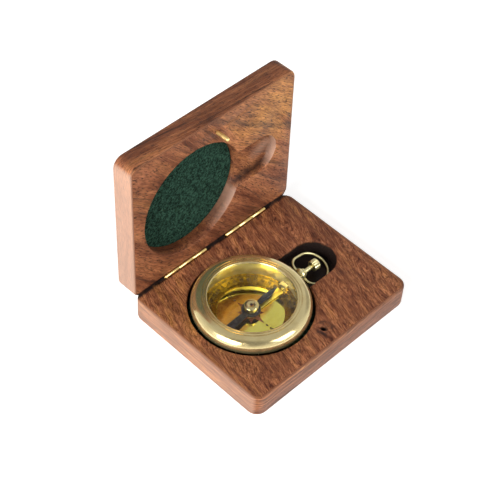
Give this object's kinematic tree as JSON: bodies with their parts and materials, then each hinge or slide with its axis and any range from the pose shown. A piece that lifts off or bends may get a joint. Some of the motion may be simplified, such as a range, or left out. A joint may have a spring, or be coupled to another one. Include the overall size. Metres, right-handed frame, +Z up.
{
  "type": "boxed pocket compass",
  "caption": "Pocket compass in a hinged wooden box: brass case with glazed dial, swinging needle, push-stem needle arrest and pendant bow, seated in felt-lined pockets.",
  "frame": {"origin": "middle of the base's underside", "axes": "+X along the box towards the pendant end, +Y from the front edge to the hinges, +Z up"},
  "size_m": [0.09, 0.0835, 0.0825],
  "materials": {
    "wood": "oiled, fine pores",
    "felt": "matte felt",
    "brass": "polished",
    "dial_brass": "satin",
    "glass": "polished",
    "steel": "blued",
    "jewel": "polished"
  },
  "bodies": {
    "base": {"base_block": "wood", "base_felt": "felt", "hinge_left_base_leaf": "brass", "hinge_left_pin": "brass", "hinge_right_base_leaf": "brass", "hinge_right_pin": "brass"},
    "lid": {"lid_block": "wood", "lid_felt": "felt", "hinge_left_lid_leaf": "brass", "hinge_right_lid_leaf": "brass", "catch_pin": "brass"},
    "compass": {"case_body": "brass", "bezel": "brass", "crystal": "glass", "wall_ring": "brass", "scale_ring": "dial_brass", "dial": "dial_brass", "pivot_post": "brass", "pivot_pin": "steel", "lever_bracket": "brass", "lever_pin": "steel", "pendant": "brass"},
    "needle": {"needle": "steel", "needle_cap": "brass", "needle_jewel": "jewel"},
    "lock": {"lock_stem": "brass", "lock_crown": "brass"},
    "lever": {"lift_lever": "brass"},
    "bow": {"bow": "brass"}
  },
  "joints": [
    {"name": "lid_hinge", "type": "hinge", "parent": "base", "child": "lid", "pos_m": [0, 0.0351, 0.01107], "axis": [-1, 0, 0], "range_deg": [-91.4, 0]},
    {"name": "compass_lift", "type": "slide", "parent": "base", "child": "compass", "axis": [0, 0, 1], "range_m": [0, 0.08]},
    {"name": "needle_swing", "type": "hinge", "parent": "compass", "child": "needle", "pos_m": [-0.0117, 0.0006, 0.0099], "axis": [0, 0, 1], "continuous": true},
    {"name": "lock_push", "type": "slide", "parent": "compass", "child": "lock", "axis": [-0.9997, 0.0227, 0], "range_m": [0, 0.0025], "stiffness_N_per_m": 300, "springref_m": -0.002},
    {"name": "lever_lift", "type": "hinge", "parent": "compass", "child": "lever", "pos_m": [0.00609, 0.0002, 0.00625], "axis": [0.0227, 0.9997, 0], "range_deg": [0, 2.3]},
    {"name": "bow_swing", "type": "hinge", "parent": "compass", "child": "bow", "pos_m": [0.01727, -0.00006, 0.0074], "axis": [-0.022, -0.97, -0.2419], "range_deg": [0, 105]}
  ],
  "couplings": [
    {"joint": "lever_lift", "follows": "lock_push", "rad_per_m": 16.05}
  ]
}
